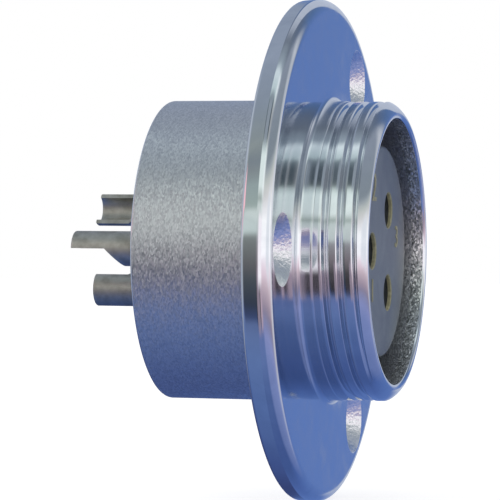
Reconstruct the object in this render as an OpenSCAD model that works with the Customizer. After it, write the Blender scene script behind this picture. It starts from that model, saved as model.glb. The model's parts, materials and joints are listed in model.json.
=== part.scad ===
// Three-pole panel receptacle: the fixed half of a circular connector.
// +X is the connector's axis, towards the mating side. +Z is up.
// The origin is on the axis, in the plane of the flange's back face, which lies on the panel.

/* [Shell] */
// Outside diameter of the cast rear body
body_d = 30; // [30:0.25:32]
// How far the rear body reaches behind the panel face
body_len = 13.7; // [13:0.1:20]
// Diameter of the flange
flange_d = 50; // [48:0.5:60]
// Thickness of the flange
flange_t = 2.8; // [2.6:0.1:4]
// Radius of the flange's turned front edge
flange_round = 1.2; // [0.4:0.1:1.5]
// Crest diameter of the threaded barrel
barrel_d = 29.8; // [29.6:0.1:29.9]
// Distance from the panel face to the barrel's rim
front_len = 9.5; // [9:0.1:14]
// Lead-in chamfer on the barrel's rim
rim_chamfer = 1.05; // [0.5:0.05:1.2]
// Bore of the barrel, which takes the mating plug's sleeve
barrel_bore_d = 26.3; // [25.8:0.1:26.6]

/* [Flange holes] */
// Circle through the three screw holes
hole_circle_d = 40; // [39.5:0.1:41]
// Clearance hole for an M3.5 screw
hole_d = 3.8; // [3.2:0.1:4.2]
// Mouth of the 90 degree countersink
sink_d = 6.9; // [6:0.1:7.2]

/* [Insulators] */
// Diameter of the island that stands in the barrel
island_d = 21; // [19:0.1:21.4]
// How far the island's face lies behind the rim
island_recess = 1.6; // [1:0.1:3]
// Thickness of the front insulator's flange
front_flange_t = 3; // [2.5:0.1:3.2]
// Thickness of the rear insulator
rear_disc_t = 5.4; // [5.2:0.1:5.4]

/* [Contacts] */
// Circle through the contacts
contact_circle_d = 9.5; // [9:0.1:10.5]
// Bore of the socket, for a 3 mm pin
socket_bore_d = 3; // [2.5:0.1:3.1]
// Outside diameter of the slotted socket
socket_d = 4.4; // [4.2:0.05:4.5]
// Outside diameter of the solder cup
cup_d = 3.5; // [3.2:0.1:3.6]
// Bore of the solder cup
cup_bore_d = 2.6; // [2:0.1:2.7]
// Distance from the panel face back to the cup's tip
cup_reach = 22.6; // [21:0.1:26]
// Length of the half of the cup's mouth that is cut away
cup_cut_len = 3.5; // [2:0.1:4]

/* [Hidden] */
$fa = 6;
$fs = 0.5;
POLES = 3;
eps = 0.01;

// Shell: cast inside, turned and drilled outside
body_r = body_d / 2;
flange_r = flange_d / 2;
barrel_r = barrel_d / 2;
bore_r = barrel_bore_d / 2;
body_edge = 0.25;          // broken edge at the rear of the body
flange_edge = 0.35;        // broken edge at the flange's back
barrel_fillet = 0.5;       // between the flange's face and the barrel
web_front_x = -1.5;        // floor of the gap that takes the mating sleeve
web_t = 2;                 // inner web that the front insulator seats against
web_rear_x = web_front_x - web_t;
seat_r = 13;               // rear bore, which holds both insulators
key_w = 2.4;               // index rib, the same in both bores
key_h = 1.3;
key_front_x = front_len - 2.2;

// Insulators: a slip fit in the shell, stacked from the web backwards
slip = 0.1;
island_x = front_len - island_recess;
disc_r = seat_r - slip;
split_x = web_rear_x - front_flange_t;
stack_rear_x = split_x - rear_disc_t;
key_play = 0.15;
island_edge = 0.2;

// Retaining ring, pressed against the rear insulator by the wall of its groove
ring_t = 1;
ring_rear_x = stack_rear_x - ring_t;
groove_r = 13.6;
ring_r = 13.5;
ring_in_r = 11.9;
ring_gap_deg = 14;
ear_r = 1.6;
ear_circle_r = 11.7;
ear_hole_r = 0.8;

// Contacts: one turned piece each, trapped by its collar between the insulators
contact_r = contact_circle_d / 2;
front_wall_t = 1;          // insulator in front of the sockets, with the entry holes
entry_d = socket_bore_d + 0.1; // guides the pin into the socket
entry_mouth_d = 4.1;
cavity_d = 4.9;
mouth_x = island_x - front_wall_t - 0.2;
land_d = 4.8;              // unslotted root of the socket
land_front_x = -1.2;
slot_w = 0.4;
slot_end_x = -0.6;
socket_end_x = -2.8;
collar_d = 5.6;
collar_front_x = -5;
collar_rear_x = -7;
lead_in = 0.3;
cup_hole_d = cup_d + 0.1;
cup_bottom_x = -14.5;
cup_ramp = 1.75;           // slope from the half cup back to the full tube

// Open spring ring in a groove round the tines
tine_ring_d = 4.7;
tine_groove_d = 3.9;
tine_ring_w = 1.2;
tine_ring_x = 4;
tine_gap_deg = 50;

// Turns an outline of [radius, place along the axis] round +X
module turned() rotate([0, 90, 0]) rotate_extrude() children();

// A round bar of diameter d along +X, from x1 to x2
module bar(d, x1, x2, end_d = 0)
    translate([x1, 0, 0]) rotate([0, 90, 0]) cylinder(d1 = d, d2 = end_d > 0 ? end_d : d, h = x2 - x1);

// Repeats at the place of each flange hole
module at_holes() for (i = [0 : POLES - 1])
    rotate([180 + i * 360 / POLES, 0, 0]) translate([0, hole_circle_d / 2, 0]) children();

// Moves to contact i; its cup opens sideways, in the direction of the local +Z
function contact_deg(i) = 180 - (i - 1) * 360 / POLES;
module at_contact(i) rotate([contact_deg(i), 0, 0]) translate([0, contact_r, 0]) children();

// Removes a wedge of the given angle, centred on +Z, from a ring round the X axis
module wedge_gap(deg, r, x1, x2) rotate([90, 0, 90]) translate([0, 0, x1]) linear_extrude(x2 - x1)
    polygon([[0, 0], [-r * tan(deg / 2), r], [r * tan(deg / 2), r]]);

// The index rib on the near wall of a bore of radius r
module index_rib(r, x1, x2, play = 0)
    translate([x1, -r - 1, -key_w / 2 - play]) cube([x2 - x1, 1 + key_h + play, key_w + 2 * play]);

module body_outline() polygon([
    [0, -body_len], [body_r - body_edge, -body_len], [body_r, -body_len + body_edge], [body_r, 1], [0, 1]]);

module flange_outline() difference() {
    polygon([[0, 0], [flange_r - flange_edge, 0], [flange_r, flange_edge], [flange_r, flange_t], [0, flange_t]]);
    translate([flange_r - flange_round, flange_t - flange_round]) difference() {
        square(flange_round + 1);
        circle(flange_round);
    }
}

module barrel_outline() {
    polygon([[0, 1], [barrel_r, 1], [barrel_r, front_len - rim_chamfer],
             [barrel_r - rim_chamfer, front_len], [0, front_len]]);
    // fillet at the barrel's root
    translate([barrel_r, flange_t]) difference() {
        translate([-0.5, -0.5]) square(barrel_fillet + 0.5);
        translate([barrel_fillet, barrel_fillet]) circle(barrel_fillet);
    }
}

module shell() color("silver") difference() {
    turned() {
        body_outline();
        flange_outline();
        barrel_outline();
    }
    // barrel bore, with the rib that keys the mating plug
    difference() {
        bar(barrel_bore_d, web_front_x, front_len + 1);
        index_rib(bore_r, web_front_x - 1, key_front_x);
    }
    // rear bore, with the rib that keys the insulators
    difference() {
        bar(2 * seat_r, -body_len - 1, web_rear_x);
        index_rib(seat_r, stack_rear_x, web_rear_x + 1);
    }
    bar(island_d + 2 * slip, web_rear_x - 1, web_front_x + 1);
    bar(2 * groove_r, ring_rear_x, ring_rear_x + ring_t + slip);
    at_holes() {
        bar(hole_d, -1, flange_t + 1);
        bar(hole_d, flange_t - (sink_d - hole_d) / 2, flange_t, sink_d);
        bar(sink_d, flange_t, flange_t + 1);
    }
}

module front_insulator() color("slategray") difference() {
    union() {
        bar(island_d, split_x, island_x - island_edge);
        bar(island_d, island_x - island_edge, island_x, island_d - 2 * island_edge);
        bar(2 * disc_r, split_x, web_rear_x);
    }
    index_rib(seat_r, split_x - 1, web_rear_x + eps, key_play);
    for (i = [1 : POLES]) at_contact(i) {
        bar(entry_d, 0, island_x + 1);
        bar(entry_d, island_x - (entry_mouth_d - entry_d) / 2, island_x, entry_mouth_d);
        bar(cavity_d, split_x - 1, island_x - front_wall_t);
        bar(collar_d + slip, split_x - 1, collar_front_x);
    }
}

module rear_insulator() color("dimgray") difference() {
    bar(2 * disc_r, stack_rear_x, split_x);
    index_rib(seat_r, stack_rear_x - 1, split_x + 1, key_play);
    for (i = [1 : POLES]) at_contact(i) {
        bar(cup_hole_d, stack_rear_x - 1, split_x + 1);
        bar(collar_d + slip, collar_rear_x, split_x + 1);
    }
}

module retaining_ring() color("gray") difference() {
    intersection() {
        bar(2 * ring_r, ring_rear_x, stack_rear_x);
        union() {
            difference() {
                bar(2 * ring_r + 1, ring_rear_x, stack_rear_x);
                bar(2 * ring_in_r, ring_rear_x - 1, stack_rear_x + 1);
            }
            for (side = [-1, 1]) rotate([side * ring_gap_deg, 0, 0]) translate([0, 0, ear_circle_r])
                bar(2 * ear_r, ring_rear_x, stack_rear_x);
        }
    }
    wedge_gap(ring_gap_deg, 2 * ring_r, ring_rear_x - 1, stack_rear_x + 1);
    for (side = [-1, 1]) rotate([side * ring_gap_deg, 0, 0]) translate([0, 0, ear_circle_r])
        bar(2 * ear_hole_r, ring_rear_x - 1, stack_rear_x + 1);
}

module contact(i) color("gainsboro") at_contact(i) difference() {
    union() {
        bar(socket_d, collar_front_x, mouth_x);
        bar(land_d, collar_front_x, land_front_x);
        bar(collar_d, collar_rear_x, collar_front_x);
        bar(cup_d, -cup_reach, collar_rear_x);
    }
    // socket: bore, lead-in, two crossed slots and the groove of the spring ring
    bar(socket_bore_d, socket_end_x, mouth_x + 1);
    bar(socket_bore_d, mouth_x - lead_in, mouth_x, socket_bore_d + 2 * lead_in);
    for (deg = [45, 135]) rotate([deg, 0, 0])
        translate([slot_end_x, -socket_d, -slot_w / 2]) cube([mouth_x - slot_end_x + 1, 2 * socket_d, slot_w]);
    difference() {
        bar(socket_d + 1, tine_ring_x, tine_ring_x + tine_ring_w);
        bar(tine_groove_d, tine_ring_x - 1, tine_ring_x + tine_ring_w + 1);
    }
    // cup: bore, and the mouth cut away to a half with a sloped end
    bar(cup_bore_d, -cup_reach - 1, cup_bottom_x);
    rotate([90, 0, 0]) linear_extrude(2 * cup_d, center = true) polygon([
        [-cup_reach - 1, 0], [-cup_reach + cup_cut_len, 0],
        [-cup_reach + cup_cut_len + cup_ramp, cup_d / 2 + eps], [-cup_reach - 1, cup_d / 2 + eps]]);
}

module tine_ring(i) color("darkgray") at_contact(i) difference() {
    bar(tine_ring_d, tine_ring_x, tine_ring_x + tine_ring_w);
    bar(tine_groove_d, tine_ring_x - 1, tine_ring_x + tine_ring_w + 1);
    wedge_gap(tine_gap_deg, tine_ring_d, tine_ring_x - 1, tine_ring_x + tine_ring_w + 1);
}

shell();
front_insulator();
rear_insulator();
retaining_ring();
contact(1);  // contact_1
contact(2);  // contact_2
contact(3);  // contact_3
tine_ring(1);  // tine_ring_1
tine_ring(2);  // tine_ring_2
tine_ring(3);  // tine_ring_3
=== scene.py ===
import json
import math

import bpy
import numpy as np
from mathutils import Matrix, Vector

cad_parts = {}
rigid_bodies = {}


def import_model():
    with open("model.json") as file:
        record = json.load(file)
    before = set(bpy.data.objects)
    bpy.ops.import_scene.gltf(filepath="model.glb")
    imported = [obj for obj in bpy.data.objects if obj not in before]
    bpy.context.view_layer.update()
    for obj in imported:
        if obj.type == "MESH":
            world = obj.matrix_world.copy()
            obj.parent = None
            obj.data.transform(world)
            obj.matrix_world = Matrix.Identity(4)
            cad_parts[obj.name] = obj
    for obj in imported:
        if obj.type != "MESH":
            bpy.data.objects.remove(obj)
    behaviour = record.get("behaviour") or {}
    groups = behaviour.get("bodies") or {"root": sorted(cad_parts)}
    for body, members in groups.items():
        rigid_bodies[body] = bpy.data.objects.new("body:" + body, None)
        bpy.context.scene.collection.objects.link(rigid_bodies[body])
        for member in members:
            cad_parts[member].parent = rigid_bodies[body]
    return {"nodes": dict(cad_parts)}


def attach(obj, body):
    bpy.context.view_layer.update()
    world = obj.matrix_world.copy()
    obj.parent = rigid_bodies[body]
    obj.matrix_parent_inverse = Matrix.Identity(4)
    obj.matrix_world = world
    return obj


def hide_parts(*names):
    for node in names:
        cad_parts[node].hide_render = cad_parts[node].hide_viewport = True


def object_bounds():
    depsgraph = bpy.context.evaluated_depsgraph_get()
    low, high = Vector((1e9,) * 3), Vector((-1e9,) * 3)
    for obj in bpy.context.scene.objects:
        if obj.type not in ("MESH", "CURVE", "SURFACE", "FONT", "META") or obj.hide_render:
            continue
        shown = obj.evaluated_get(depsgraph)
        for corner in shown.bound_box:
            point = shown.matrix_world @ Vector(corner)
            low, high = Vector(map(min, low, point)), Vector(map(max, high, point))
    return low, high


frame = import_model()
cad_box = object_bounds()

# ---------------------------------------------------------------------------------------------
# Shell. A zinc die casting, nickel and chrome plated: cast rear body and panel flange in one
# with the barrel, whose outside, rim and flange face are turned bright and threaded after
# casting. The rest keeps the fine grain of the mould.
MM = 0.001
BODY_R, BODY_REAR, BODY_EDGE = 15.0, -13.7, 0.25
FLANGE_R, FLANGE_T, FLANGE_EDGE, FLANGE_ROUND = 25.0, 2.8, 0.45, 1.2
RIM_DRAFT = 4                  # degrees, so that the rim leaves the mould
BARREL_R, BARREL_END, BARREL_FILLET = 14.9, 9.5, 0.5
BARREL_BORE_R, RIM_IN_EDGE, CORE_SKIN_END = 13.15, 0.3, 8.0
WEB_FRONT, WEB_REAR, WEB_BORE_R = -1.5, -3.5, 10.6
SEAT_R = 13.0
RING_GROOVE_R, RING_GROOVE_FRONT, RING_GROOVE_REAR = 13.6, -11.8, -12.9
HOLE_CIRCLE_R, HOLE_R, SINK_R = 20.0, 1.9, 3.45
RIB_W, RIB_H, RIB_FRONT = 2.4, 1.3, 7.3

# Thread M30 x 1.5, cut with a shallow pass that leaves wide crests; the groove deepens over a
# fifth of a turn behind, and fades again where it nears the rounded rim.
PITCH = 1.5
CREST_R, THREAD_START = 14.84, 4.36
GROOVE_HALF, GROOVE_EDGE_R, GROOVE_ROOT_R = 0.30, 0.14, 0.09
GROOVE_PHASE = 5.15            # where the groove starts on the near side (-Y)
RUN_IN_FROM, RUN_IN_TURNS = -0.5, 0.22      # the groove reaches its depth over this, in turns
FADE_TO, FADE_TURNS = 2.24, 0.16            # and loses it again over this
RIM_ROUND, RIM_POWER, RIM_STEPS = 1.15, 1.35, 8    # between a bevel, 1, and a round, 2
SHELL_STEPS = 288


def arc(x, r, radius, start, end, count):
    """Points on an arc in the plane of (place along the axis, radius), angles in degrees from +x."""
    return [(x + radius * math.cos(math.radians(a)), r + radius * math.sin(math.radians(a)))
            for a in np.linspace(start, end, count)]


def pick(piece):
    """That piece is the only one selected, and it is active."""
    bpy.ops.object.select_all(action="DESELECT")
    piece.select_set(True)
    bpy.context.view_layer.objects.active = piece


def trace(name, outline, centre=(0.0, 0.0)):
    """Draws an outline of (x, radius), in mm, below the axis at centre, by extruding one vertex."""
    bpy.ops.object.select_all(action="DESELECT")
    bpy.ops.mesh.primitive_plane_add(size=MM)
    piece = bpy.context.object
    piece.name = piece.data.name = name
    bpy.ops.object.mode_set(mode="EDIT")
    bpy.ops.mesh.select_all(action="SELECT")
    bpy.ops.mesh.merge(type="CENTER")
    at = np.array([[x, centre[0] - r, centre[1]] for x, r in outline]) * MM
    bpy.ops.transform.translate(value=at[0])
    for step in np.diff(at, axis=0):
        bpy.ops.mesh.extrude_region_move(TRANSFORM_OT_translate={"value": step})
    return piece


def spin_round(steps, centre=(0.0, 0.0)):
    """Spins the traced outline once round the axis through centre."""
    bpy.ops.mesh.select_all(action="SELECT")
    bpy.ops.mesh.spin(steps=steps, angle=2 * math.pi, center=(0, centre[0] * MM, centre[1] * MM),
                      axis=(1, 0, 0), use_auto_merge=False)


def close_skin():
    """Merges the seam and the poles, points the faces outwards and leaves edit mode."""
    bpy.ops.mesh.select_all(action="SELECT")
    bpy.ops.mesh.remove_doubles(threshold=2e-6)
    bpy.ops.mesh.dissolve_degenerate(threshold=1e-6)
    bpy.ops.mesh.normals_make_consistent(inside=False)
    bpy.ops.object.mode_set(mode="OBJECT")


def cut(piece, cutter):
    """Takes the cutter's shape away from the piece; the cut faces keep the cutter's material."""
    pick(piece)
    boolean = piece.modifiers.new("cut", "BOOLEAN")
    boolean.operation, boolean.solver, boolean.object = "DIFFERENCE", "EXACT", cutter
    boolean.material_mode = "TRANSFER"
    bpy.ops.object.modifier_apply(modifier=boolean.name)
    bpy.data.objects.remove(cutter)


def smooth(piece, degrees=30):
    """Smooth shading up to that angle, with the large flat faces kept flat."""
    pick(piece)
    bpy.ops.object.shade_smooth_by_angle(angle=math.radians(degrees))
    weighted = piece.modifiers.new("weighted", "WEIGHTED_NORMAL")
    weighted.keep_sharp, weighted.weight = True, 100
    bpy.ops.object.modifier_apply(modifier=weighted.name)


# One pitch of the thread as (place from the groove's start, depth below the crest)
edge_run = GROOVE_EDGE_R * math.tan(math.radians(30))
root_deep = GROOVE_HALF / math.tan(math.radians(30)) - GROOVE_ROOT_R
groove = []
for a in np.linspace(0, 60, 5):
    groove.append((-edge_run + GROOVE_EDGE_R * math.sin(math.radians(a)),
                   GROOVE_EDGE_R * (1 - math.cos(math.radians(a)))))
for a in np.linspace(60, 0, 4):
    groove.append((GROOVE_HALF - GROOVE_ROOT_R * math.sin(math.radians(a)),
                   root_deep - GROOVE_ROOT_R + GROOVE_ROOT_R * math.cos(math.radians(a))))
groove += [(2 * GROOVE_HALF - u, depth) for u, depth in reversed(groove[:-1])]
groove += [(2 * GROOVE_HALF + (PITCH - 2 * GROOVE_HALF) * k / 3, 0.0) for k in (1, 2)]
TURNS = (-1, 0, 1, 2, 3)
thread_columns = [(turn, u, depth) for turn in TURNS for u, depth in groove]

rim_taper = (FLANGE_T - FLANGE_ROUND - FLANGE_EDGE) * math.tan(math.radians(RIM_DRAFT))
rear_outline = (
    [(BODY_REAR, SEAT_R + 0.15)]
    + arc(BODY_REAR + BODY_EDGE, BODY_R - BODY_EDGE, BODY_EDGE, 180, 90, 5)
    + [(-7.0, BODY_R), (-0.12, BODY_R), (0.0, BODY_R + 0.12), (0.0, 20.0)]
    + arc(FLANGE_EDGE, FLANGE_R - FLANGE_EDGE - rim_taper, FLANGE_EDGE, 180, 90 + RIM_DRAFT, 6)
    + arc(FLANGE_T - FLANGE_ROUND, FLANGE_R - FLANGE_ROUND, FLANGE_ROUND, 90 + RIM_DRAFT, 0, 16)
    + [(FLANGE_T, 23.55), (FLANGE_T, 16.45)]
    + arc(FLANGE_T + BARREL_FILLET, BARREL_R + BARREL_FILLET, BARREL_FILLET, 180, 270, 10)
    + [(4.0, BARREL_R), (THREAD_START - 0.09, BARREL_R), (THREAD_START - 0.03, BARREL_R - 0.01)])
rim_x, rim_r = BARREL_END - RIM_ROUND, CREST_R - RIM_ROUND    # the rounding's centre
front_outline = (
    [(BARREL_END, rim_r - 0.1)]
    + arc(BARREL_END - RIM_IN_EDGE, BARREL_BORE_R + RIM_IN_EDGE, RIM_IN_EDGE, 0, -90, 5)
    + [(CORE_SKIN_END, BARREL_BORE_R), (1.5, BARREL_BORE_R)]
    + arc(WEB_FRONT + 0.3, BARREL_BORE_R - 0.3, 0.3, 90, 180, 4)
    + [(WEB_FRONT, WEB_BORE_R), (WEB_REAR, WEB_BORE_R), (WEB_REAR, SEAT_R),
       (RING_GROOVE_FRONT, SEAT_R), (RING_GROOVE_FRONT, RING_GROOVE_R),
       (RING_GROOVE_REAR, RING_GROOVE_R), (RING_GROOVE_REAR, SEAT_R),
       (BODY_REAR + 0.15, SEAT_R), (BODY_REAR, SEAT_R + 0.15)])
straight_thread = [(x, CREST_R) for x in
                   np.linspace(THREAD_START, rim_x, len(thread_columns) + 2 + RIM_STEPS)]
outline = rear_outline + straight_thread + front_outline

shell = trace("shell_visual", outline)
spin_round(SHELL_STEPS)
close_skin()

# The index ribs stand on the near wall of the two bores, cast with them
for bore_r, x1, x2 in ((BARREL_BORE_R, WEB_FRONT - 0.2, RIB_FRONT),
                       (SEAT_R, -11.9, WEB_REAR + 0.2)):
    bpy.ops.object.select_all(action="DESELECT")
    bpy.ops.mesh.primitive_cube_add(
        size=MM, scale=(x2 - x1, RIB_H + 0.5, RIB_W),
        location=((x1 + x2) / 2 * MM, (-bore_r - 0.5 + (RIB_H + 0.5) / 2) * MM, 0))
    rib = bpy.context.object
    bpy.ops.object.transform_apply(location=True, rotation=True, scale=True)
    bpy.ops.object.mode_set(mode="EDIT")
    bpy.ops.mesh.select_all(action="SELECT")
    bpy.ops.mesh.bevel(offset=0.2 * MM, segments=3, affect="EDGES")
    bpy.ops.object.mode_set(mode="OBJECT")
    pick(shell)
    union = shell.modifiers.new("rib", "BOOLEAN")
    union.operation, union.solver, union.object = "UNION", "EXACT", rib
    bpy.ops.object.modifier_apply(modifier=union.name)
    bpy.data.objects.remove(rib)


def srgb(code):
    """The linear colour of an sRGB hex code."""
    parts = [int(code[i:i + 2], 16) / 255 for i in (1, 3, 5)]
    return [c / 12.92 if c <= 0.04045 else ((c + 0.055) / 1.055) ** 2.4 for c in parts] + [1.0]


def add(tree, kind, settings=None, links=None):
    """Adds a node to the tree, sets its properties, sockets or ramp stops, and links its sockets."""
    node = tree.nodes.new(kind)
    for name, value in (settings or {}).items():
        if name == "stops":
            elements = node.color_ramp.elements
            for at, (place, code) in enumerate(value):
                element = elements[at] if at < 2 else elements.new(1.0)
                element.position, element.color = place, srgb(code)
        elif isinstance(name, str) and hasattr(node, name):
            setattr(node, name, value)
        else:
            node.inputs[name].default_value = value
    for name, socket in (links or {}).items():
        tree.links.new(socket, node.inputs[name])
    return node


def material(name):
    """An empty material with its output; returns it with its tree."""
    made = bpy.data.materials.new(name)
    made.use_nodes = True
    made.node_tree.nodes.clear()
    return made, made.node_tree


# Turned and chrome plated zinc: a mirror with the last traces of the tool, faint waves left
# by polishing, and thin smears that dull it in places.
turned_chrome, tree = material("turned_chrome_plate")
place = add(tree, "ShaderNodeTexCoord").outputs["Object"]
split = add(tree, "ShaderNodeSeparateXYZ", links={0: place})
across = add(tree, "ShaderNodeCombineXYZ", links={"Y": split.outputs["Y"], "Z": split.outputs["Z"]})
radius = add(tree, "ShaderNodeVectorMath", {"operation": "LENGTH"}, {0: across.outputs[0]})
along = add(tree, "ShaderNodeMath", {"operation": "ADD"},
            {0: split.outputs["X"], 1: radius.outputs["Value"]})
# tool marks about 0.1 mm apart, uneven, drawn as noise along the outline
feed = add(tree, "ShaderNodeMath", {"operation": "MULTIPLY", 1: 10000.0}, {0: along.outputs[0]})
marks = add(tree, "ShaderNodeTexNoise", {"noise_dimensions": "1D", "Scale": 1.0, "Detail": 1.0},
            {"W": feed.outputs[0]})
waves = add(tree, "ShaderNodeTexNoise", {"Scale": 260.0, "Detail": 1.0}, {"Vector": place})
smears = add(tree, "ShaderNodeTexNoise", {"Scale": 420.0, "Detail": 4.0, "Distortion": 0.6},
             {"Vector": place})
tooled = add(tree, "ShaderNodeBump", {"Strength": 1.0, "Distance": 2.5e-7},
             {"Height": marks.outputs["Fac"]})
waved = add(tree, "ShaderNodeBump", {"Strength": 1.0, "Distance": 6e-6},
            {"Height": waves.outputs["Fac"], "Normal": tooled.outputs["Normal"]})
dulled = add(tree, "ShaderNodeMapRange",
             {"From Min": 0.35, "From Max": 0.75, "To Min": 0.06, "To Max": 0.13},
             {"Value": smears.outputs["Fac"]})
tone = add(tree, "ShaderNodeValToRGB", {"stops": ((0.3, "#dcdfe3"), (0.8, "#cfd3d9"))},
           {"Fac": smears.outputs["Fac"]})
skin = add(tree, "ShaderNodeBsdfPrincipled", {"Metallic": 1.0},
           {"Base Color": tone.outputs["Color"], "Roughness": dulled.outputs[0],
            "Normal": waved.outputs["Normal"]})
add(tree, "ShaderNodeOutputMaterial", links={"Surface": skin.outputs[0]})

# The same plate over the cast skin: a satin of flat grains, each tilted its own way so that they
# glint one by one. The real ones are finer; here they are 0.1 mm along the axis and 0.23 mm
# round it, so that they still show, and 0.94 metallic leaves a little of the skin's matt scatter.
cast_chrome, tree = material("cast_chrome_plate")
place = add(tree, "ShaderNodeTexCoord").outputs["Object"]
drawn = add(tree, "ShaderNodeMapping", {"Scale": (9500.0, 4400.0, 4400.0)}, {"Vector": place})
grains = add(tree, "ShaderNodeTexVoronoi", {"Scale": 1.0}, {"Vector": drawn.outputs[0]})
lean = add(tree, "ShaderNodeVectorMath",
           {"operation": "MULTIPLY_ADD", 1: (0.13,) * 3, 2: (-0.065,) * 3},
           {0: grains.outputs["Color"]})
upright = add(tree, "ShaderNodeNewGeometry").outputs["Normal"]
leaning = add(tree, "ShaderNodeVectorMath", {"operation": "ADD"}, {0: upright, 1: lean.outputs[0]})
facet = add(tree, "ShaderNodeVectorMath", {"operation": "NORMALIZE"}, {0: leaning.outputs[0]})
swells = add(tree, "ShaderNodeTexNoise", {"Scale": 420.0, "Detail": 3.0}, {"Vector": place})
swollen = add(tree, "ShaderNodeBump", {"Strength": 1.0, "Distance": 8e-6},
              {"Height": swells.outputs["Fac"], "Normal": facet.outputs[0]})
shade = add(tree, "ShaderNodeSeparateColor", links={0: grains.outputs["Color"]})
satin = add(tree, "ShaderNodeMapRange",
            {"From Min": 0.0, "From Max": 1.0, "To Min": 0.32, "To Max": 0.46},
            {"Value": shade.outputs[2]})
tone = add(tree, "ShaderNodeValToRGB", {"stops": ((0.0, "#c0c3c8"), (1.0, "#dfe1e4"))},
           {"Fac": shade.outputs[0]})
skin = add(tree, "ShaderNodeBsdfPrincipled", {"Metallic": 0.94},
           {"Base Color": tone.outputs["Color"], "Roughness": satin.outputs[0],
            "Normal": swollen.outputs["Normal"]})
add(tree, "ShaderNodeOutputMaterial", links={"Surface": skin.outputs[0]})

# The plate in the barrel's bore, over the unblasted skin of the core: grains of 0.12 mm by
# 0.23 mm that lean further, so that light and dark ones stand side by side.
core_chrome, tree = material("core_skin_chrome_plate")
place = add(tree, "ShaderNodeTexCoord").outputs["Object"]
drawn = add(tree, "ShaderNodeMapping", {"Scale": (8000.0, 4400.0, 4400.0)}, {"Vector": place})
grains = add(tree, "ShaderNodeTexVoronoi", {"Scale": 1.0}, {"Vector": drawn.outputs[0]})
lean = add(tree, "ShaderNodeVectorMath",
           {"operation": "MULTIPLY_ADD", 1: (0.2,) * 3, 2: (-0.1,) * 3},
           {0: grains.outputs["Color"]})
upright = add(tree, "ShaderNodeNewGeometry").outputs["Normal"]
leaning = add(tree, "ShaderNodeVectorMath", {"operation": "ADD"}, {0: upright, 1: lean.outputs[0]})
facet = add(tree, "ShaderNodeVectorMath", {"operation": "NORMALIZE"}, {0: leaning.outputs[0]})
shade = add(tree, "ShaderNodeSeparateColor", links={0: grains.outputs["Color"]})
tone = add(tree, "ShaderNodeValToRGB",
           {"stops": ((0.0, "#b4b8b8"), (0.7, "#cfd2d2"), (1.0, "#f6f7f6"))},
           {"Fac": shade.outputs[0]})
skin = add(tree, "ShaderNodeBsdfPrincipled", {"Metallic": 0.94, "Roughness": 0.36},
           {"Base Color": tone.outputs["Color"], "Normal": facet.outputs[0]})
add(tree, "ShaderNodeOutputMaterial", links={"Surface": skin.outputs[0]})

# Countersunk after casting, so brighter than the skin but rougher than turned faces: torn metal
# under the plate gives grains about 0.3 mm across.
drilled_chrome, tree = material("drilled_chrome_plate")
place = add(tree, "ShaderNodeTexCoord").outputs["Object"]
tears = add(tree, "ShaderNodeTexNoise", {"Scale": 3400.0, "Detail": 3.0}, {"Vector": place})
torn = add(tree, "ShaderNodeBump", {"Strength": 1.0, "Distance": 9e-5},
           {"Height": tears.outputs["Fac"]})
skin = add(tree, "ShaderNodeBsdfPrincipled",
           {"Metallic": 1.0, "Base Color": srgb("#ecedf0"), "Roughness": 0.28},
           {"Normal": torn.outputs["Normal"]})
add(tree, "ShaderNodeOutputMaterial", links={"Surface": skin.outputs[0]})

shell.data.materials.append(cast_chrome)
shell.data.materials.append(turned_chrome)
shell.data.materials.append(drilled_chrome)
shell.data.materials.append(core_chrome)
for face in shell.data.polygons:
    x, r = face.center.x / MM, math.hypot(face.center.y, face.center.z) / MM
    outside = face.normal.y * face.center.y + face.normal.z * face.center.z > 0
    bright = ((x > 0.02 and (outside or x > FLANGE_T - 0.01) and r > BARREL_BORE_R + 0.01)
              or x < BODY_REAR + 0.2)
    bored = x > CORE_SKIN_END and r < BARREL_BORE_R + 0.01 and not outside
    face.material_index = 1 if bright else 3 if bored else 0

# Three countersunk screw holes through the flange, at the far side and 60 degrees off the near
for i in range(3):
    angle = math.radians(180 + 120 * i)
    centre = (HOLE_CIRCLE_R * math.cos(angle), HOLE_CIRCLE_R * math.sin(angle))
    drill = trace("drill", [(-1.0, 0.0), (-1.0, HOLE_R + 1.1), (0.12, HOLE_R),
                            (FLANGE_T - SINK_R + HOLE_R, HOLE_R), (FLANGE_T - 0.05, SINK_R - 0.05),
                            (FLANGE_T + 1.0, SINK_R + 1.6), (FLANGE_T + 1.0, 0.0)], centre)
    spin_round(64, centre)
    close_skin()
    drill.data.materials.append(drilled_chrome)
    cut(shell, drill)

# The straight columns of the barrel are laid along the helix; where one would pass an end, it
# stops there, and where the groove meets the rounded rim the skin turns into the rim.
def rim_place(around):
    """The place on the rim's curve at that turn, from pi/2 on the crest to 0 on the end face."""
    return (rim_x + RIM_ROUND * max(math.cos(around), 0.0) ** (2 / RIM_POWER),
            rim_r + RIM_ROUND * max(math.sin(around), 0.0) ** (2 / RIM_POWER))


def rim_turn(place):
    """The turn at which the rim's curve passes a place on it."""
    return math.atan2(max((place[1] - rim_r) / RIM_ROUND, 0.0) ** (RIM_POWER / 2),
                      max((place[0] - rim_x) / RIM_ROUND, 0.0) ** (RIM_POWER / 2))


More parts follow.
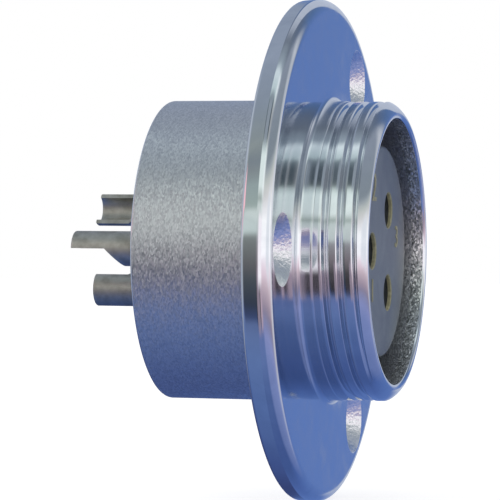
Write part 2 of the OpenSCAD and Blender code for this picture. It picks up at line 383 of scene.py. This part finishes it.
laid = []
for row in range(SHELL_STEPS + 1):
    places, beyond = [(THREAD_START, CREST_R)], -1.0
    for turn, u, depth in thread_columns:
        passed = turn - row / SHELL_STEPS
        run_out = (min(max((passed - RUN_IN_FROM) / RUN_IN_TURNS, 0), 1)
                   * min(max((FADE_TO - passed) / FADE_TURNS, 0), 1))
        place = (GROOVE_PHASE + PITCH * passed + u, CREST_R - depth * run_out)
        if beyond >= 0:
            place = places[-1]
        elif place[0] < THREAD_START + 0.02:
            place = places[0]
        elif place[0] > rim_x:
            before = beyond
            beyond = (((place[0] - rim_x) / RIM_ROUND) ** RIM_POWER
                      + ((place[1] - rim_r) / RIM_ROUND) ** RIM_POWER - 1)
            if beyond > 0:
                share = before / (before - beyond)
                crossing = [a + share * (b - a) for a, b in zip(places[-1], place)]
                place = rim_place(rim_turn(crossing))
        else:
            beyond = place[1] - CREST_R - 1e-6
        places.append(place)
    last = places[-1] if beyond >= 0 else (rim_x, CREST_R)
    laid.append(places + [rim_place(a) for a in np.linspace(rim_turn(last), 0, RIM_STEPS + 1)])
column_gap = (rim_x - THREAD_START) / (len(straight_thread) - 1)


def thread_row(spot):
    """The row round the barrel of a place on the unthreaded skin, or None outside it."""
    x, y, z = spot / MM
    if abs(math.hypot(y, z) - CREST_R) < 1e-3 and THREAD_START - 0.01 < x < rim_x + 0.01:
        return round(math.atan2(z, -y) / (2 * math.pi) * SHELL_STEPS) % SHELL_STEPS


# the seam on the near side is opened, because the helix comes back to it one pitch further on
pick(shell)
bpy.ops.object.mode_set(mode="EDIT")
bpy.ops.mesh.select_mode(type="EDGE")
bpy.ops.mesh.select_all(action="DESELECT")
bpy.ops.object.mode_set(mode="OBJECT")
skin_spots = [vertex.co for vertex in shell.data.vertices]
for edge in shell.data.edges:
    edge.select = all(thread_row(skin_spots[v]) == 0 for v in edge.vertices)
bpy.ops.object.mode_set(mode="EDIT")
bpy.ops.mesh.edge_split(type="EDGE")
bpy.ops.object.mode_set(mode="OBJECT")
last_row = {v for face in shell.data.polygons if face.center.z < 0 for v in face.vertices}
for vertex in shell.data.vertices:
    row = thread_row(vertex.co)
    if row is not None:
        row = SHELL_STEPS if row == 0 and vertex.index in last_row else row
        x, r = laid[row][round((vertex.co.x / MM - THREAD_START) / column_gap)]
        angle = 2 * math.pi * row / SHELL_STEPS
        vertex.co = Vector((x, -r * math.cos(angle), r * math.sin(angle))) * MM
bpy.ops.object.mode_set(mode="EDIT")
bpy.ops.mesh.select_mode(type="VERT")
close_skin()
smooth(shell)
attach(shell, "root")
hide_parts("shell")

# ---------------------------------------------------------------------------------------------
# Front insulator. A glass-filled phenolic moulding with three sockets' cavities; its island
# stands in the barrel and its flange is trapped behind the shell's inner web.
ISLAND_R, ISLAND_FACE, ISLAND_EDGE = 10.5, 7.9, 0.35
FRONT_DISC_R, SPLIT = 12.9, -6.5
CONTACT_R = 4.75
# These holes are not the CAD's, which are 3.1 mm with mouths of 4.1 mm in a wall of 1.0 mm
ENTRY_R, ENTRY_MOUTH_R, ENTRY_REAR = 1.75, 1.85, 7.52
CAVITY_R, COLLAR_ROOM_R, COLLAR_FRONT = 2.45, 2.85, -5.0
KEY_SLACK, KEYWAY_DEEP = 0.15, 2.0
contact_places = [(CONTACT_R * math.cos(math.radians(180 - 120 * i)),
                   CONTACT_R * math.sin(math.radians(180 - 120 * i))) for i in range(3)]

phenolic, tree = material("moulded_phenolic")
place = add(tree, "ShaderNodeTexCoord").outputs["Object"]
# filler that shows as a mottle about 0.5 mm across, under a smooth moulded skin
mottle = add(tree, "ShaderNodeTexNoise", {"Scale": 1900.0, "Detail": 4.0, "Roughness": 0.65},
             {"Vector": place})
flow = add(tree, "ShaderNodeTexNoise", {"Scale": 240.0, "Detail": 2.0, "Distortion": 1.2},
           {"Vector": place})
mixed = add(tree, "ShaderNodeMath", {"operation": "MULTIPLY_ADD", 1: 0.5},
            {0: mottle.outputs["Fac"], 2: flow.outputs["Fac"]})
tone = add(tree, "ShaderNodeValToRGB", {"stops": ((0.55, "#6f767c"), (0.95, "#828a8c"))},
           {"Fac": mixed.outputs[0]})
dimpled = add(tree, "ShaderNodeBump", {"Strength": 1.0, "Distance": 3e-6},
              {"Height": mottle.outputs["Fac"]})
skin = add(tree, "ShaderNodeBsdfPrincipled", {"Roughness": 0.36, "IOR": 1.6},
           {"Base Color": tone.outputs["Color"], "Normal": dimpled.outputs["Normal"]})
add(tree, "ShaderNodeOutputMaterial", links={"Surface": skin.outputs[0]})

# where it is drilled the skin is gone: the pale olive filler shows, matt. Its paleness is partly
# painted light, standing for the light that falls on the shallow walls of the hole entries
pale_filler_painted_light, tree = material("pale_filler_painted_light_phenolic")
place = add(tree, "ShaderNodeTexCoord").outputs["Object"]
mottle = add(tree, "ShaderNodeTexNoise", {"Scale": 2600.0, "Detail": 3.0}, {"Vector": place})
tone = add(tree, "ShaderNodeValToRGB", {"stops": ((0.35, "#b3b08c"), (0.7, "#d2cfae"))},
           {"Fac": mottle.outputs["Fac"]})
dimpled = add(tree, "ShaderNodeBump", {"Strength": 1.0, "Distance": 1e-5},
              {"Height": mottle.outputs["Fac"]})
skin = add(tree, "ShaderNodeBsdfPrincipled", {"Roughness": 0.6, "IOR": 1.6},
           {"Base Color": tone.outputs["Color"], "Normal": dimpled.outputs["Normal"]})
add(tree, "ShaderNodeOutputMaterial", links={"Surface": skin.outputs[0]})

front_insulator = trace("front_insulator_visual", (
    [(SPLIT, 0.0), (SPLIT, FRONT_DISC_R - 0.15), (SPLIT + 0.15, FRONT_DISC_R),
     (WEB_REAR - 0.1, FRONT_DISC_R), (WEB_REAR, FRONT_DISC_R - 0.1), (WEB_REAR, ISLAND_R + 0.05),
     (WEB_REAR + 0.05, ISLAND_R), (3.0, ISLAND_R)]
    + arc(ISLAND_FACE - ISLAND_EDGE, ISLAND_R - ISLAND_EDGE, ISLAND_EDGE, 90, 0, 5)
    + [(ISLAND_FACE, ISLAND_R - 0.8), (ISLAND_FACE, 0.0)]))
spin_round(160)
close_skin()
front_insulator.data.materials.append(phenolic)
for centre in contact_places:
    drill = trace("cavity", [(SPLIT - 1, 0.0), (SPLIT - 1, COLLAR_ROOM_R),
                             (COLLAR_FRONT, COLLAR_ROOM_R), (COLLAR_FRONT, CAVITY_R),
                             (ENTRY_REAR, CAVITY_R), (ENTRY_REAR, ENTRY_R),
                             (ISLAND_FACE - ENTRY_MOUTH_R + ENTRY_R, ENTRY_R),
                             (ISLAND_FACE, ENTRY_MOUTH_R), (ISLAND_FACE + 1, ENTRY_MOUTH_R),
                             (ISLAND_FACE + 1, 0.0)], centre)
    spin_round(72, centre)
    close_skin()
    drill.data.materials.append(phenolic)
    cut(front_insulator, drill)
# keyway for the index rib, along the flange
bpy.ops.object.select_all(action="DESELECT")
bpy.ops.mesh.primitive_cube_add(
    size=MM, scale=(3.4, KEYWAY_DEEP, RIB_W + 2 * KEY_SLACK),
    location=(-5.1 * MM, -(SEAT_R - RIB_H - KEY_SLACK + KEYWAY_DEEP / 2) * MM, 0))
keyway = bpy.context.object
bpy.ops.object.transform_apply(location=True, rotation=True, scale=True)
keyway.data.materials.append(phenolic)
cut(front_insulator, keyway)
front_insulator.data.materials.append(pale_filler_painted_light)
# painted light: only the shallow walls of the hole entries, in front of ENTRY_REAR, take the pale
# material, so they look lit while the deeper cavity keeps the darker moulded colour
for face in front_insulator.data.polygons:
    off_axis = min(math.hypot(face.center.y / MM - y, face.center.z / MM - z)
                   for y, z in contact_places)
    if face.center.x > ENTRY_REAR * MM and off_axis < ENTRY_MOUTH_R:
        face.material_index = 1
smooth(front_insulator)
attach(front_insulator, "root")
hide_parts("front_insulator")

# Contact numbers, raised 0.06 mm in the mould beside their holes and rubbed with pale filler
NUMERAL_RAISED, NUMERAL_EDGE, NUMERAL_FIT = 0.04, 0.02, 1.4    # fit: font size to figure height
NUMERALS = (("1", (-4.6, -4.0), 2.3), ("2", (-4.2, 6.1), 2.8), ("3", (6.1, 1.4), 2.2))
for digit, (y, z), tall in NUMERALS:
    bpy.ops.object.select_all(action="DESELECT")
    bpy.ops.object.text_add(location=(0, 0, 0))
    numeral = bpy.context.object
    numeral.data.body, numeral.data.size = digit, tall * NUMERAL_FIT * MM
    numeral.data.align_x, numeral.data.align_y = "CENTER", "CENTER"
    numeral.data.extrude, numeral.data.bevel_depth = NUMERAL_RAISED * MM, NUMERAL_EDGE * MM
    numeral.data.resolution_u = 6
    bpy.ops.object.convert(target="MESH")
    numeral = bpy.context.object
    numeral.name = numeral.data.name = "contact_number_" + digit
    numeral.matrix_world = Matrix.Translation((ISLAND_FACE * MM, y * MM, z * MM)) @ Matrix(
        ((0, 0, 1, 0), (1, 0, 0, 0), (0, 1, 0, 0), (0, 0, 0, 1)))
    bpy.ops.object.transform_apply(location=True, rotation=True, scale=True)
    bpy.ops.object.mode_set(mode="EDIT")
    close_skin()
    numeral.data.materials.clear()
    numeral.data.materials.append(pale_filler_painted_light)
    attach(numeral, "root")

# ---------------------------------------------------------------------------------------------
# Rear insulator. A black-brown phenolic disc that closes the cavities from behind; the solder
# cups come out through it, and the snap ring holds it in the shell.
STACK_REAR, CUP_HOLE_R, COLLAR_REAR = -11.9, 1.8, -7.0

rear_insulator = trace("rear_insulator_visual", [
    (STACK_REAR, 0.0), (STACK_REAR, FRONT_DISC_R - 0.2), (STACK_REAR + 0.2, FRONT_DISC_R),
    (SPLIT - 0.1, FRONT_DISC_R), (SPLIT, FRONT_DISC_R - 0.1), (SPLIT, 0.0)])
spin_round(160)
close_skin()
rear_phenolic, tree = material("dark_moulded_phenolic")
place = add(tree, "ShaderNodeTexCoord").outputs["Object"]
mottle = add(tree, "ShaderNodeTexNoise", {"Scale": 1600.0, "Detail": 4.0, "Roughness": 0.65},
             {"Vector": place})
tone = add(tree, "ShaderNodeValToRGB", {"stops": ((0.35, "#4b4842"), (0.7, "#67625a"))},
           {"Fac": mottle.outputs["Fac"]})
dimpled = add(tree, "ShaderNodeBump", {"Strength": 1.0, "Distance": 8e-6},
              {"Height": mottle.outputs["Fac"]})
skin = add(tree, "ShaderNodeBsdfPrincipled", {"Roughness": 0.45, "IOR": 1.6},
           {"Base Color": tone.outputs["Color"], "Normal": dimpled.outputs["Normal"]})
add(tree, "ShaderNodeOutputMaterial", links={"Surface": skin.outputs[0]})
rear_insulator.data.materials.append(rear_phenolic)
for centre in contact_places:
    drill = trace("cup_hole", [(STACK_REAR - 1, 0.0), (STACK_REAR - 1, CUP_HOLE_R + 0.15),
                               (STACK_REAR, CUP_HOLE_R + 0.15), (STACK_REAR + 0.15, CUP_HOLE_R),
                               (COLLAR_REAR, CUP_HOLE_R), (COLLAR_REAR, COLLAR_ROOM_R),
                               (SPLIT + 1, COLLAR_ROOM_R), (SPLIT + 1, 0.0)], centre)
    spin_round(64, centre)
    close_skin()
    drill.data.materials.append(rear_phenolic)
    cut(rear_insulator, drill)
bpy.ops.object.select_all(action="DESELECT")
bpy.ops.mesh.primitive_cube_add(
    size=MM, scale=(6.4, KEYWAY_DEEP, RIB_W + 2 * KEY_SLACK),
    location=(-9.2 * MM, -(SEAT_R - RIB_H - KEY_SLACK + KEYWAY_DEEP / 2) * MM, 0))
keyway = bpy.context.object
bpy.ops.object.transform_apply(location=True, rotation=True, scale=True)
keyway.data.materials.append(rear_phenolic)
cut(rear_insulator, keyway)
smooth(rear_insulator)
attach(rear_insulator, "root")
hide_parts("rear_insulator")

# ---------------------------------------------------------------------------------------------
# Contacts. Turned brass, dull silver plated: a slotted socket in front, a collar trapped
# between the insulators and a solder cup behind whose mouth is milled away to a half.
SOCKET_R, SOCKET_BORE_R, MOUTH, LEAD_IN = 2.2, 1.5, 6.7, 0.3
LAND_R, LAND_FRONT, SOCKET_END, SLOT_W, SLOT_END = 2.4, -1.2, -2.8, 0.4, -0.6
COLLAR_R = 2.8
CUP_R, CUP_BORE_R, CUP_TIP, CUP_BOTTOM, CUP_CUT, CUP_RAMP = 1.75, 1.3, -22.6, -14.5, 3.5, 1.75
TINE_GROOVE_R, TINE_X, TINE_W = 1.95, 4.0, 1.2
CUP_EDGE, MILL_REACH = 0.15, 2.5

silvered, tree = material("dull_silver_plate")
place = add(tree, "ShaderNodeTexCoord").outputs["Object"]
stains = add(tree, "ShaderNodeTexNoise", {"Scale": 700.0, "Detail": 5.0, "Roughness": 0.6},
             {"Vector": place})
drawn = add(tree, "ShaderNodeMapping", {"Scale": (700.0, 9000.0, 9000.0)}, {"Vector": place})
scratches = add(tree, "ShaderNodeTexNoise", {"Scale": 1.0, "Detail": 2.0},
                {"Vector": drawn.outputs[0]})
tone = add(tree, "ShaderNodeValToRGB",
           {"stops": ((0.3, "#a19f96"), (0.55, "#bcbab2"), (0.8, "#cdcbc5"))},
           {"Fac": stains.outputs["Fac"]})
dulled = add(tree, "ShaderNodeMapRange",
             {"From Min": 0.3, "From Max": 0.75, "To Min": 0.55, "To Max": 0.42},
             {"Value": stains.outputs["Fac"]})
scored = add(tree, "ShaderNodeBump", {"Strength": 1.0, "Distance": 2e-6},
             {"Height": scratches.outputs["Fac"]})
skin = add(tree, "ShaderNodeBsdfPrincipled", {"Metallic": 1.0},
           {"Base Color": tone.outputs["Color"], "Roughness": dulled.outputs[0],
            "Normal": scored.outputs["Normal"]})
add(tree, "ShaderNodeOutputMaterial", links={"Surface": skin.outputs[0]})

near = contact_places[0]
contact = trace("contact_visual_1", (
    [(SOCKET_END - 0.8, 0.0), (SOCKET_END, SOCKET_BORE_R), (MOUTH - LEAD_IN, SOCKET_BORE_R),
     (MOUTH - 0.04, SOCKET_BORE_R + LEAD_IN - 0.04), (MOUTH, SOCKET_BORE_R + LEAD_IN + 0.03),
     (MOUTH, SOCKET_R - 0.08), (MOUTH - 0.08, SOCKET_R), (TINE_X + TINE_W, SOCKET_R),
     (TINE_X + TINE_W, TINE_GROOVE_R), (TINE_X, TINE_GROOVE_R), (TINE_X, SOCKET_R),
     (LAND_FRONT, SOCKET_R), (LAND_FRONT, LAND_R), (COLLAR_FRONT, LAND_R), (COLLAR_FRONT, COLLAR_R),
     (COLLAR_REAR, COLLAR_R), (COLLAR_REAR, CUP_R), (-13.0, CUP_R)]
    + arc(CUP_TIP + CUP_EDGE, CUP_R - CUP_EDGE, CUP_EDGE, 90, 165, 5)
    + [(CUP_TIP, CUP_R - 0.18), (CUP_TIP, CUP_BORE_R + 0.05), (CUP_TIP + 0.05, CUP_BORE_R),
       (CUP_BOTTOM, CUP_BORE_R), (CUP_BOTTOM + 0.75, 0.0)]), near)
spin_round(96, near)
close_skin()
contact.data.materials.append(silvered)
# the milled mouth: a block whose end slopes back to the full tube
bpy.ops.object.select_all(action="DESELECT")
bpy.ops.mesh.primitive_cube_add(size=MM)
mill = bpy.context.object
x_open, x_cut = CUP_TIP - 1, CUP_TIP + CUP_CUT
for corner in mill.data.vertices:
    low = corner.co.z > 0
    x = (x_cut if low else x_cut + CUP_RAMP * MILL_REACH / CUP_R) if corner.co.x > 0 else x_open
    y = near[0] + math.copysign(MILL_REACH, corner.co.y)
    corner.co = Vector((x, y, 0.0 if low else -MILL_REACH)) * MM
mill.data.materials.append(silvered)
cut(contact, mill)
# two crossed slots free the four tines
for turn in (45, 135):
    bpy.ops.object.select_all(action="DESELECT")
    bpy.ops.mesh.primitive_cube_add(
        size=MM, scale=(MOUTH + 1 - SLOT_END, 6.0, SLOT_W), rotation=(math.radians(turn), 0, 0),
        location=((MOUTH + 1 + SLOT_END) / 2 * MM, near[0] * MM, near[1] * MM))
    saw = bpy.context.object
    bpy.ops.object.transform_apply(location=True, rotation=True, scale=True)
    saw.data.materials.append(silvered)
    cut(contact, saw)
smooth(contact, 35)
for i in range(3):
    placed = contact if i == 0 else contact.copy()
    if i:
        placed.data = contact.data.copy()
        bpy.context.scene.collection.objects.link(placed)
        placed.name = placed.data.name = f"contact_visual_{i + 1}"
        placed.parent = None
        placed.data.transform(Matrix.Rotation(math.radians(-120 * i), 4, "X"))
for i in range(3):
    placed = bpy.data.objects[f"contact_visual_{i + 1}"]
    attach(placed, "root")
    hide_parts(f"contact_{i + 1}")

# ---------------------------------------------------------------------------------------------
# Spring steel: the snap ring that holds the insulators in, and an open ring round each
# socket's tines. Stamped or coiled, hardened and phosphated to a dark grey.
spring_steel, tree = material("phosphated_spring_steel")
place = add(tree, "ShaderNodeTexCoord").outputs["Object"]
speckle = add(tree, "ShaderNodeTexNoise", {"Scale": 3000.0, "Detail": 3.0}, {"Vector": place})
tone = add(tree, "ShaderNodeValToRGB", {"stops": ((0.3, "#5c5d60"), (0.7, "#7d7e80"))},
           {"Fac": speckle.outputs["Fac"]})
rough = add(tree, "ShaderNodeMapRange",
            {"From Min": 0.3, "From Max": 0.7, "To Min": 0.3, "To Max": 0.45},
            {"Value": speckle.outputs["Fac"]})
pitted = add(tree, "ShaderNodeBump", {"Strength": 1.0, "Distance": 4e-6},
             {"Height": speckle.outputs["Fac"]})
skin = add(tree, "ShaderNodeBsdfPrincipled", {"Metallic": 1.0},
           {"Base Color": tone.outputs["Color"], "Roughness": rough.outputs[0],
            "Normal": pitted.outputs["Normal"]})
add(tree, "ShaderNodeOutputMaterial", links={"Surface": skin.outputs[0]})
for node in ("retaining_ring", "tine_ring_1", "tine_ring_2", "tine_ring_3"):
    made = frame["nodes"][node]
    for at in range(len(made.data.materials)):
        made.data.materials[at] = spring_steel

# ---------------------------------------------------------------------------------------------
# Studio. A pale floor under the flange's lowest point, and a world that stands for the tent:
# white behind for the camera, pale panels, a dark gap and blue paper where the metal looks.
bpy.ops.object.select_all(action="DESELECT")
FLOOR_LIFT = 0.78              # brings the paper to plain white for the camera
bpy.ops.mesh.primitive_plane_add(size=6, location=(0, 0, cad_box[0].z))
floor = bpy.context.object
floor.name = "floor"
floor.visible_glossy = False
floor_paper, tree = material("white_paper_floor")
sight = add(tree, "ShaderNodeLightPath")
lit = add(tree, "ShaderNodeBsdfDiffuse", {"Color": srgb("#bcbcbd")})
glow = add(tree, "ShaderNodeEmission", {"Color": srgb("#ffffff")})
lift = add(tree, "ShaderNodeMath", {"operation": "MULTIPLY", 1: FLOOR_LIFT},
           {0: sight.outputs["Is Camera Ray"]})
tree.links.new(lift.outputs[0], glow.inputs["Strength"])
both = add(tree, "ShaderNodeAddShader", links={0: lit.outputs[0], 1: glow.outputs[0]})
add(tree, "ShaderNodeOutputMaterial", links={"Surface": both.outputs[0]})
floor.data.materials.append(floor_paper)

world = bpy.data.worlds.new("studio")
bpy.context.scene.world = world
world.use_nodes = True
tree = world.node_tree
tree.nodes.clear()
sight = add(tree, "ShaderNodeLightPath")
towards = add(tree, "ShaderNodeTexCoord").outputs["Generated"]
split = add(tree, "ShaderNodeSeparateXYZ", links={0: towards})
facing = add(tree, "ShaderNodeMath", {"operation": "MULTIPLY", 1: -1.0}, {0: split.outputs["Y"]})
# the angle up from the camera's side, round the object's axis, as a share of a full turn
angle = add(tree, "ShaderNodeMath", {"operation": "ARCTAN2"},
            {0: split.outputs["Z"], 1: facing.outputs[0]})
turn = add(tree, "ShaderNodeMapRange", {"From Min": -math.pi, "From Max": math.pi},
           {"Value": angle.outputs[0]})
# in front: pale panels with a dark gap between them, then the table's dark edge and blue paper
FRONT = ((-180, "#5872aa"), (-150, "#4f69a3"), (-135, "#48609a"), (-118, "#3f5488"), (-98, "#42568a"),
         (-65, "#4e6394"), (-50, "#5c70a0"), (-37, "#6070a0"), (-33, "#3a4460"), (-30, "#2b2a2e"),
         (-17, "#423f42"), (-12, "#615c5f"), (-7, "#766e73"), (5, "#918f93"), (7.5, "#bcc3c1"),
         (20, "#c3ccc8"), (22.5, "#9aa59f"), (25.5, "#c4cdc8"), (28, "#d8e1dd"), (43, "#dce7e2"),
         (47, "#c0ccc8"), (51, "#5c6668"), (56, "#475158"), (65, "#4b565d"), (71, "#6a777d"),
         (75, "#b4c3c5"), (86, "#cfdadd"), (92, "#8d99a3"), (107, "#69727f"), (128, "#5b687e"),
         (150, "#506991"), (180, "#5872aa"))
front = add(tree, "ShaderNodeValToRGB", {"stops": [((a + 180) / 360, code) for a, code in FRONT]},
            {"Fac": turn.outputs[0]})
# far left: the same panels seen edge on, so greyer
LEFT = ((-180, "#34416d"), (-140, "#34406c"), (-115, "#3f5184"), (-95, "#4a5f90"), (-75, "#536a9c"),
        (-50, "#5b719f"), (-35, "#5b6c95"), (-31, "#3a4668"), (-25, "#343b49"), (-14, "#474d53"),
        (-7, "#5e5e60"), (6, "#787d7b"), (8, "#bfcbc7"), (17, "#c4cdc9"), (20, "#95a29d"),
        (29, "#8f9c9b"), (36, "#828a8b"), (41, "#788187"), (48, "#88908f"), (70, "#828c98"),
        (100, "#8b95a5"), (150, "#828da0"), (180, "#7486a4"))
left = add(tree, "ShaderNodeValToRGB", {"stops": [((a + 180) / 360, code) for a, code in LEFT]},
           {"Fac": turn.outputs[0]})
# right: a white wall that narrows to the back, grey above it and lavender below
width = add(tree, "ShaderNodeMath", {"operation": "MULTIPLY_ADD", 1: -0.14, 2: 0.22},
            {0: split.outputs["Y"]})
height = add(tree, "ShaderNodeMath", {"operation": "DIVIDE"},
             {0: split.outputs["Z"], 1: width.outputs[0]})
level = add(tree, "ShaderNodeMapRange", {"From Min": -4.0, "From Max": 4.0},
            {"Value": height.outputs[0]})
RIGHT = ((-4.0, "#6474a4"), (-2.3, "#7683b2"), (-1.8, "#858cb9"), (-1.5, "#8486a8"), (-1.3, "#857e94"),
         (-1.1, "#9a8b99"), (-0.7, "#c4b0b8"), (-0.5, "#dcc7d1"), (-0.3, "#ecdde4"), (-0.1, "#fdfafc"),
         (0.55, "#fbfaf9"), (0.8, "#e7e5e6"), (1.1, "#cfcdcb"), (1.4, "#b9bdb8"), (1.65, "#9aa1a5"),
         (1.85, "#7f888f"), (4.0, "#858d9a"))
right = add(tree, "ShaderNodeValToRGB", {"stops": [((q + 4) / 8, code) for q, code in RIGHT]},
            {"Fac": level.outputs[0]})
# what hangs in front of what: colour, how much it covers, and its edges, each as (direction,
# where it begins, where it is full); x, y, z are the object's, up is the angle from the front
BEHIND_LENS = (("x", -0.21, -0.19), ("x", 0.21, 0.19))
LAYERS = (
    # a veil over the gap, then a rosy card, and the card's end
    ("#8c959e", 0.9, BEHIND_LENS + (("up", 0.72, 0.92), ("up", 1.36, 1.16))),
    ("#a898a8", 0.6, BEHIND_LENS + (("up", -0.70, -0.60), ("up", -0.10, -0.20))),
    ("#b5a0ae", 0.9, (("x", 0.26, 0.30), ("up", -0.70, -0.60), ("up", -0.10, -0.20))),
    # a white card, and a pale strip to its right
    ("#f6eef2", 1.0, (("x", -0.10, 0.12), ("up", -0.34, -0.20), ("up", 0.34, 0.20))),
    ("#ffffff", 0.3, (("x", 0.28, 0.36), ("up", 0.20, 0.34), ("up", 1.64, 1.50))),
    # grey paper behind
    ("#b6bcc8", 0.8, BEHIND_LENS + (("y", 0.25, 0.60), ("z", -0.35, -0.10))),
    # the left side, with grey paper behind the cups and a rosy edge
    (left.outputs["Color"], 1.0, (("x", -0.245, -0.28),)),
    ("#b9bfc7", 0.65, (("x", -0.64, -0.84), ("z", -0.45, -0.15))),
    ("#f2bcc6", 1.0, (("x", -0.46, -0.56), ("up", 0.36, 0.37), ("up", 0.72, 0.71))),
    # the right side, then its far half and its middle
    (right.outputs["Color"], 1.0, (("x", 0.40, 0.60),)),
    ("#c3c6cd", 0.7, (("x", 0.45, 0.60), ("y", 0.45, 0.65), ("z", -0.40, -0.10))),
    ("#d9dce1", 0.8, (("x", 0.93, 0.985), ("z", -0.16, -0.06), ("z", 0.30, 0.20))))
directions = {"x": split.outputs["X"], "y": split.outputs["Y"], "z": split.outputs["Z"],
              "up": angle.outputs[0]}
tent = front.outputs["Color"]
for colour, most, edges in LAYERS:
    share = None
    for direction, begins, full in edges:
        edge = add(tree, "ShaderNodeMapRange",
                   {"interpolation_type": "SMOOTHSTEP", "From Min": begins, "From Max": full,
                    "To Max": most if share is None else 1.0}, {"Value": directions[direction]})
        if share is None:
            share = edge.outputs[0]
        else:
            share = add(tree, "ShaderNodeMath", {"operation": "MULTIPLY"},
                        {0: share, 1: edge.outputs[0]}).outputs[0]
    blend = add(tree, "ShaderNodeMix", {"data_type": "RGBA"}, {0: share, 6: tent})
    if isinstance(colour, str):
        blend.inputs[7].default_value = srgb(colour)
    else:
        tree.links.new(colour, blend.inputs[7])
    tent = blend.outputs[2]
MIRRORED_STRENGTH = 1.4
mirrored = add(tree, "ShaderNodeBackground", {"Strength": MIRRORED_STRENGTH}, {"Color": tent})
# soft light: fullest from the front, less from the object's right
toward_front = add(tree, "ShaderNodeMapRange",
                   {"From Min": -1.0, "From Max": 1.0, "To Min": 0.5, "To Max": 1.15},
                   {"Value": facing.outputs[0]})
less_right = add(tree, "ShaderNodeMapRange",
                 {"From Min": -0.2, "From Max": 1.0, "To Min": 1.0, "To Max": 0.25},
                 {"Value": split.outputs["X"]})
soft = add(tree, "ShaderNodeMath", {"operation": "MULTIPLY"},
           {0: toward_front.outputs[0], 1: less_right.outputs[0]})
light = add(tree, "ShaderNodeBackground", {"Color": srgb("#ffffff")}, {"Strength": soft.outputs[0]})
paper = add(tree, "ShaderNodeBackground", {"Color": srgb("#ffffff"), "Strength": 1.0})
clear = add(tree, "ShaderNodeMath", {"operation": "MAXIMUM"},
            {0: sight.outputs["Is Camera Ray"], 1: sight.outputs["Is Transmission Ray"]})
lit = add(tree, "ShaderNodeMixShader",
          links={0: sight.outputs["Is Glossy Ray"], 1: light.outputs[0], 2: mirrored.outputs[0]})
seen = add(tree, "ShaderNodeMixShader",
           links={0: clear.outputs[0], 1: lit.outputs[0], 2: paper.outputs[0]})
add(tree, "ShaderNodeOutputWorld", links={"Surface": seen.outputs[0]})

# ---------------------------------------------------------------------------------------------
# Camera, level with the axis, 15 degrees round towards the mating side
camera = bpy.data.objects.new("camera", bpy.data.cameras.new("camera"))
bpy.context.scene.collection.objects.link(camera)
camera.data.lens, camera.data.sensor_width = 201.8, 36.0
camera.data.clip_start, camera.data.clip_end = 0.01, 20.0
camera.matrix_world = Matrix(((0.96488, -0.00927, 0.26252, 0.0682),
                              (0.26246, -0.00696, -0.96492, -0.2719),
                              (0.01077, 0.99993, -0.00428, -0.0012),
                              (0, 0, 0, 1)))
bpy.context.scene.camera = camera
bpy.context.scene.view_settings.view_transform = "Standard"
